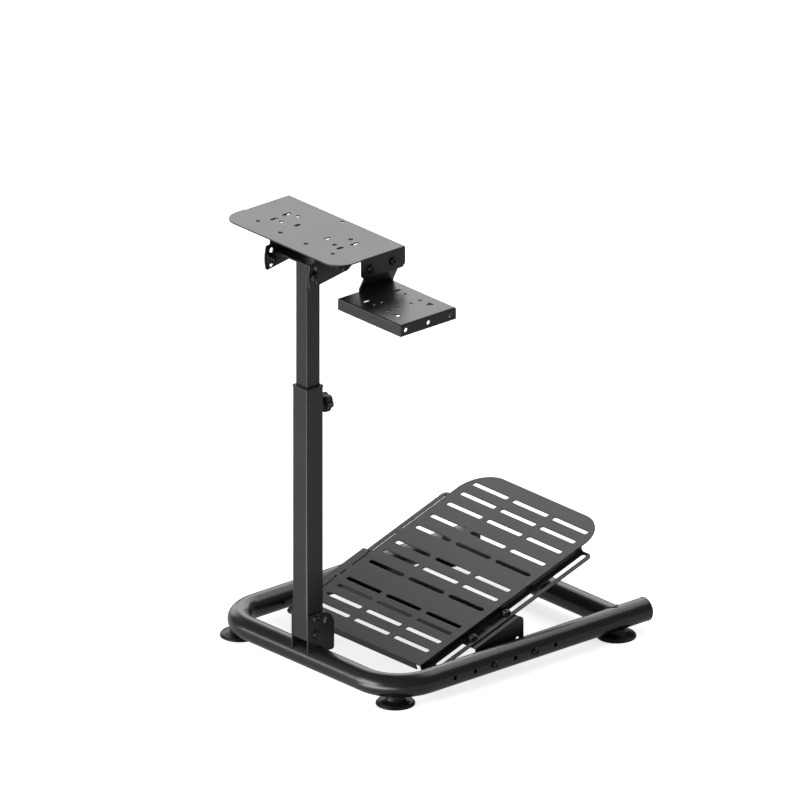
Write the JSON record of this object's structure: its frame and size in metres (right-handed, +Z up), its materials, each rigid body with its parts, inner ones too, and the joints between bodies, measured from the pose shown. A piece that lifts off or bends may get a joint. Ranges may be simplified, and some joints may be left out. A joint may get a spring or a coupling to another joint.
{
  "type": "racing wheel stand",
  "caption": "Free-standing stand with a telescoping mast, a tilting slotted wheel deck with a side shifter tray, and a sloping slotted pedal deck on a tube frame.",
  "frame": {"origin": "floor level, at the middle of the stand's footprint", "axes": "+Z up along the mast, +Y forwards from the driver along the floor frame's side tubes, +X to the driver's right"},
  "size_m": [0.602, 0.6814, 0.8714],
  "materials": {
    "tube_paint": "satin black powder coat",
    "mast_paint": "satin black powder coat",
    "sheet_paint": "fine-textured black powder coat",
    "fastener": "black zinc",
    "plastic": "moulded, fine grain",
    "rubber_foot": "matt"
  },
  "bodies": {
    "floor_frame": {"base_tube": "tube_paint", "rear_cross_tube": "tube_paint", "end_cap_left": "plastic", "end_cap_right": "plastic", "foot_front_left": "rubber_foot", "foot_front_right": "rubber_foot", "foot_rear_left": "rubber_foot", "foot_rear_right": "rubber_foot", "mast_ear_left": "sheet_paint", "mast_ear_right": "sheet_paint", "mast_pivot_bolt": "fastener", "mast_lock_bolt": "fastener", "lower_mast": "mast_paint", "mast_collar": "plastic", "clamp_nut": "fastener", "pedal_bracket_left": "sheet_paint", "pedal_bracket_right": "sheet_paint", "rail_bolts_left": "fastener", "rail_bolts_right": "fastener", "lip_bolts_left": "fastener", "lip_bolts_right": "fastener"},
    "upper_mast_body": {"upper_mast": "mast_paint", "mast_yoke": "sheet_paint", "tilt_pivot_bolt_left": "fastener", "tilt_pivot_bolt_right": "fastener", "tilt_lock_bolt_left": "fastener", "tilt_lock_bolt_right": "fastener"},
    "wheel_deck_body": {"wheel_deck": "sheet_paint", "shifter_bracket": "sheet_paint", "shifter_tray": "sheet_paint", "bracket_deck_bolts": "fastener", "bracket_tray_bolts": "fastener", "deck_side_plate_left": "sheet_paint", "deck_side_plate_right": "sheet_paint"},
    "knob_body": {"clamp_knob": "plastic", "clamp_stud": "fastener"},
    "pedal_deck_body": {"pedal_deck": "sheet_paint"}
  },
  "joints": [
    {"name": "mast_height", "type": "slide", "parent": "floor_frame", "child": "upper_mast_body", "axis": [0, 0, 1], "range_m": [-0.2, 0.1]},
    {"name": "deck_tilt", "type": "hinge", "parent": "upper_mast_body", "child": "wheel_deck_body", "pos_m": [-0.0235, -0.2353, 0.815], "axis": [1, 0, 0], "range_deg": [-11, 11]},
    {"name": "knob_turn", "type": "hinge", "parent": "floor_frame", "child": "knob_body", "pos_m": [-0.0235, -0.2293, 0.5253], "axis": [0, 1, 0], "continuous": true},
    {"name": "pedal_deck_slide", "type": "slide", "parent": "floor_frame", "child": "pedal_deck_body", "axis": [0, 0.9479, 0.3185], "range_m": [-0.022, 0.034]}
  ]
}
